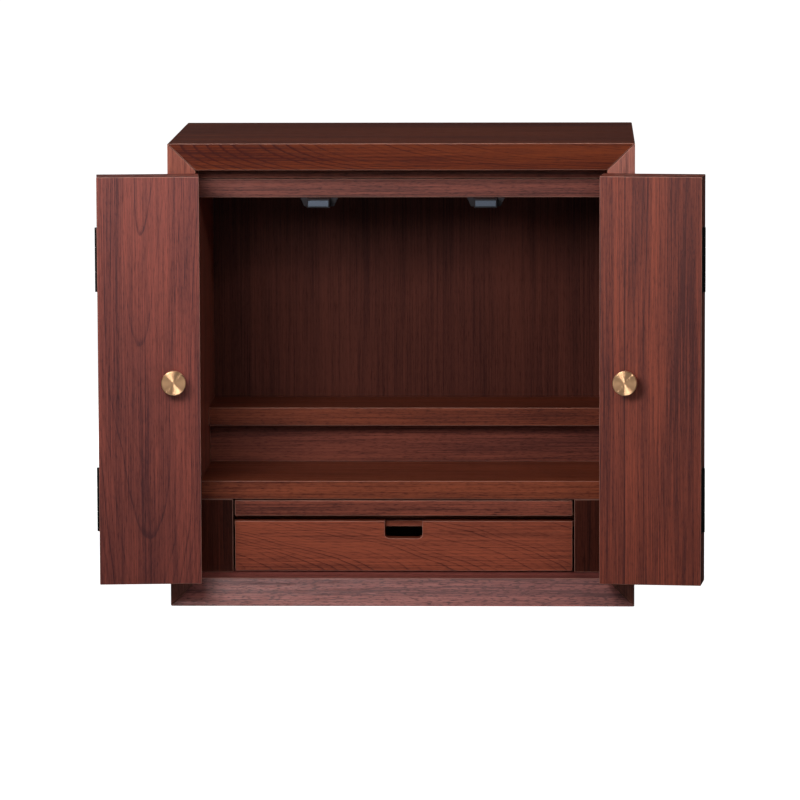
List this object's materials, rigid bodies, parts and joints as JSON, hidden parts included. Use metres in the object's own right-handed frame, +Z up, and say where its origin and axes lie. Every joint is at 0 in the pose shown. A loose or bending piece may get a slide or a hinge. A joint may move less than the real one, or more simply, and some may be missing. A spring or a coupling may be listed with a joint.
{
  "type": "household altar cabinet",
  "caption": "Tabletop altar cabinet with a bevelled mitred frame, folding doors, stepped shelves, a pull-out tray and a finger-notched drawer.",
  "frame": {"origin": "centre of the case's flat underside", "axes": "+Z up, the open front faces -Y, +X towards the right-hand door as seen from the front"},
  "size_m": [0.5852, 0.3543, 0.45],
  "materials": {
    "walnut": "satin oiled walnut, red brown",
    "walnut_inside": "satin oiled walnut, dark brown",
    "drawer_wood": "plain sanded hardwood",
    "knob_brass": "turned and polished",
    "hinge_black": "black oxide",
    "catch_grey": "moulded dark grey",
    "catch_steel": "plain zinc-plated steel"
  },
  "bodies": {
    "case": {"case_top": "walnut", "case_bottom": "walnut", "case_left": "walnut", "case_right": "walnut", "back_panel": "walnut_inside", "ceiling_board": "walnut", "ceiling_strip": "walnut", "upper_shelf": "walnut", "riser": "walnut", "lower_shelf": "walnut", "left_filler": "walnut", "right_filler": "walnut", "left_drawer_guide": "walnut_inside", "right_drawer_guide": "walnut_inside", "bay_divider": "walnut", "left_catch_body": "catch_grey", "right_catch_body": "catch_grey", "left_catch_magnet": "catch_steel", "right_catch_magnet": "catch_steel", "left_lower_jamb_hinge_case_leaf": "hinge_black", "left_upper_jamb_hinge_case_leaf": "hinge_black", "right_lower_jamb_hinge_case_leaf": "hinge_black", "right_upper_jamb_hinge_case_leaf": "hinge_black"},
    "left_jamb_door": {"left_jamb_panel": "walnut", "left_lower_jamb_hinge_door_leaf": "hinge_black", "left_upper_jamb_hinge_door_leaf": "hinge_black", "left_lower_fold_hinge_jamb_leaf": "hinge_black", "left_upper_fold_hinge_jamb_leaf": "hinge_black"},
    "left_centre_door": {"left_centre_panel": "walnut", "left_knob": "knob_brass", "left_strike_plate": "catch_steel", "left_lower_fold_hinge_centre_leaf": "hinge_black", "left_upper_fold_hinge_centre_leaf": "hinge_black"},
    "right_jamb_door": {"right_jamb_panel": "walnut", "right_lower_jamb_hinge_door_leaf": "hinge_black", "right_upper_jamb_hinge_door_leaf": "hinge_black", "right_lower_fold_hinge_jamb_leaf": "hinge_black", "right_upper_fold_hinge_jamb_leaf": "hinge_black"},
    "right_centre_door": {"right_centre_panel": "walnut", "right_knob": "knob_brass", "right_strike_plate": "catch_steel", "right_lower_fold_hinge_centre_leaf": "hinge_black", "right_upper_fold_hinge_centre_leaf": "hinge_black"},
    "drawer": {"drawer_front": "walnut", "drawer_bottom": "drawer_wood", "drawer_left_side": "drawer_wood", "drawer_right_side": "drawer_wood", "drawer_back": "drawer_wood"},
    "tray": {"tray_board": "walnut"}
  },
  "joints": [
    {"name": "left_door_swing", "type": "hinge", "parent": "case", "child": "left_jamb_door", "pos_m": [-0.1965, -0.1434, 0], "axis": [0, 0, -1], "range_deg": [-175.1, 0]},
    {"name": "left_door_fold", "type": "hinge", "parent": "left_jamb_door", "child": "left_centre_door", "pos_m": [-0.29147, -0.17703, 0], "axis": [0, 0, 1], "range_deg": [-180, 0]},
    {"name": "right_door_swing", "type": "hinge", "parent": "case", "child": "right_jamb_door", "pos_m": [0.1965, -0.1434, 0], "axis": [0, 0, 1], "range_deg": [-173.7, 0]},
    {"name": "right_door_fold", "type": "hinge", "parent": "right_jamb_door", "child": "right_centre_door", "pos_m": [0.29062, -0.17935, 0], "axis": [0, 0, -1], "range_deg": [-180, 0]},
    {"name": "drawer_slide", "type": "slide", "parent": "case", "child": "drawer", "axis": [0, -1, 0], "range_m": [0, 0.15]},
    {"name": "tray_slide", "type": "slide", "parent": "case", "child": "tray", "axis": [0, -1, 0], "range_m": [0, 0.14]}
  ]
}
